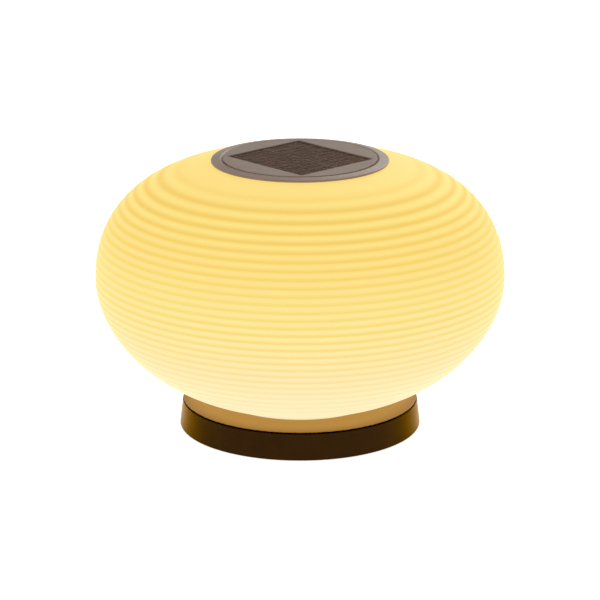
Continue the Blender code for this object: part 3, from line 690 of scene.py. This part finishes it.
class LANTERN_OT_unit(bpy.types.Operator):
    """Finishes the unit under the cap: housing, battery bay, switch, lamp and wiring."""

    bl_idname = "lantern.unit"
    bl_label = "Unit under the cap"

    def execute(self, context):
        look = context.scene.lantern_unit
        black = moulded_abs("black_abs", look.housing, "#232120", Specular_IOR_Level=0.4)
        white = moulded_abs("switch_acetal", "#E4DFD4", "#ECE8DE")
        rubber = moulded_rubber()
        zinc = zinc_plate()
        for node, bevel in (("unit_housing", 0.2), ("battery_door", 0.2), ("panel_carrier", 0.2),
                            ("charge_chip", 0.1), ("boost_coil", 0.2)):
            crisp(node, black, bevel)
        for node in ("unit_gasket", "grip_ring"):
            crisp(node, rubber, 0.1)
        for node in ("unit_screw_1", "unit_screw_2", "unit_screw_3", "unit_screw_4", "capacitor",
                     "switch_body", "battery_spring"):
            crisp(node, zinc, 0)
        crisp("switch_slider", white, 0.2)
        crisp("led_board", white, 0.1)
        sleeve = moulded_abs("shrink_sleeve", look.sleeve, "#467E62", roughness=(0.25, 0.35))
        crisp("battery", sleeve, 0.3)
        brass, tree, shader = new_finish("nickel_brass", Metallic=1.0)
        vary_colour(tree, shader, surface_noise(tree, 2.0), "#B4A67E", "#C4B893")
        vary_roughness(tree, shader, surface_noise(tree, 1.0), 0.25, 0.4)
        for side in ("plus", "minus"):
            crisp(f"battery_contact_{side}", brass, 0.05)
        crisp("control_board", moulded_abs("solder_mask", "#1C5433", "#22603B",
                                           roughness=(0.3, 0.45)), 0.05)
        lens, tree, shader = new_finish("frosted_polycarbonate", IOR=1.58, Roughness=0.45)
        vary_colour(tree, shader, surface_noise(tree, 1.0), look.lens, "#F7F1E0")
        shader.inputs["Emission Color"].default_value = linear("#FFE9B4")
        shader.inputs["Emission Strength"].default_value = look.lamp
        crisp("lamp_lens", lens, 0.1)
        for i in range(LEDS):
            crisp(f"led_{i + 1}", lens, 0.05)
        for colour, low, high in (("red", "#A2241E", "#B02C24"), ("black", "#171717", "#202020")):
            pvc = moulded_abs(f"{colour}_pvc", low, high, roughness=(0.3, 0.4))
            for place in ("panel", "lamp"):
                crisp(f"{place}_lead_{colour}", pvc, 0)
        return {"FINISHED"}


# ---------------------------------------------------------------- stage


def light_panel(name, place, size, power):
    """A soft rectangular light that faces the lantern."""
    light = bpy.data.lights.new(name, "AREA")
    light.shape = "RECTANGLE"
    light.size, light.size_y = size
    light.energy = power
    lamp = bpy.data.objects.new(name, light)
    lamp.location = place
    towards = Vector(LIGHT_AIM) - lamp.location
    lamp.rotation_euler = towards.to_track_quat("-Z", "Y").to_euler()
    bpy.context.scene.collection.objects.link(lamp)


class LANTERN_OT_stage(bpy.types.Operator):
    """Makes the floor, the soft studio light and the camera."""

    bl_idname = "lantern.stage"
    bl_label = "Floor, light and camera"

    def execute(self, context):
        look = context.scene.lantern_stage
        scene = context.scene
        scene.view_settings.view_transform = "Standard"

        bm = bmesh.new()
        bmesh.ops.create_circle(bm, cap_ends=True, segments=FLOOR_SIDES, radius=FLOOR_RADIUS)
        paper, tree, shader = new_finish("white_seamless_paper", Roughness=0.9,
                                         Specular_IOR_Level=0.0)
        vary_colour(tree, shader, surface_noise(tree, 40.0), "#FAFAFA", "#FFFFFF")
        shader.inputs["Emission Color"].default_value = (1, 1, 1, 1)
        shader.inputs["Emission Strength"].default_value = PAPER_GLOW
        floor = finish_mesh("studio_floor", bm, paper)
        floor.location.z = FLOOR_Z

        world = bpy.data.worlds.new("white_studio")
        world.use_nodes = True
        tree = world.node_tree
        sky = tree.nodes["Background"]
        place = add(tree, "ShaderNodeTexCoord").outputs["Generated"]
        rise = add(tree, "ShaderNodeSeparateXYZ", links={0: place}).outputs["Z"]
        walls = add(tree, "ShaderNodeValToRGB", links={0: rise})
        set_ramp(walls, greys(STUDIO))
        tree.links.new(walls.outputs["Color"], sky.inputs["Color"])
        sky.inputs["Strength"].default_value = look.daylight
        scene.world = world

        light_panel("softbox", SOFTBOX_PLACE, SOFTBOX_SIZE, look.softbox)
        light_panel("side_panel", SIDE_PANEL_PLACE, SIDE_PANEL_SIZE, look.side_panel)

        camera = bpy.data.cameras.new("camera")
        camera.lens = look.lens
        camera.sensor_width = SENSOR_WIDTH
        eye = bpy.data.objects.new("camera", camera)
        eye.location = (0, -look.distance * math.cos(look.elevation),
                        look.aim + look.distance * math.sin(look.elevation))
        eye.rotation_euler = (math.pi / 2 - look.elevation, 0, 0)
        scene.collection.objects.link(eye)
        scene.camera = eye
        return {"FINISHED"}


# ---------------------------------------------------------------- add-on


class LANTERN_PT_panel(bpy.types.Panel):
    """Lists the lantern's settings and operators."""

    bl_idname = "LANTERN_PT_panel"
    bl_label = "Solar table lantern"
    bl_space_type = "VIEW_3D"
    bl_region_type = "UI"
    bl_category = "Lantern"

    def draw(self, context):
        for name, operator in STEPS:
            box = self.layout.box()
            group = getattr(context.scene, name)
            for key in group.__annotations__:
                box.prop(group, key)
            box.operator(operator.bl_idname)


GROUPS = {
    "lantern_shade": LanternShade,
    "lantern_base": LanternBase,
    "lantern_cap": LanternCap,
    "lantern_unit": LanternUnit,
    "lantern_stage": LanternStage,
}
STEPS = [
    ("lantern_stage", LANTERN_OT_stage),
    ("lantern_shade", LANTERN_OT_shade),
    ("lantern_base", LANTERN_OT_base),
    ("lantern_cap", LANTERN_OT_cap),
    ("lantern_unit", LANTERN_OT_unit),
]
CLASSES = [*GROUPS.values(), *(operator for _, operator in STEPS), LANTERN_PT_panel]


def register():
    """Adds the classes, and the settings to the scene."""
    for cls in CLASSES:
        bpy.utils.register_class(cls)
    for name, group in GROUPS.items():
        setattr(bpy.types.Scene, name, PointerProperty(type=group))


def unregister():
    """Takes the settings and the classes away."""
    for name in GROUPS:
        delattr(bpy.types.Scene, name)
    for cls in reversed(CLASSES):
        bpy.utils.unregister_class(cls)


def main():
    """Makes the whole lantern with its stage."""
    register()
    bpy.ops.lantern.stage()
    bpy.ops.lantern.shade()
    bpy.ops.lantern.base()
    bpy.ops.lantern.cap()
    bpy.ops.lantern.unit()


if __name__ == "__main__":
    main()
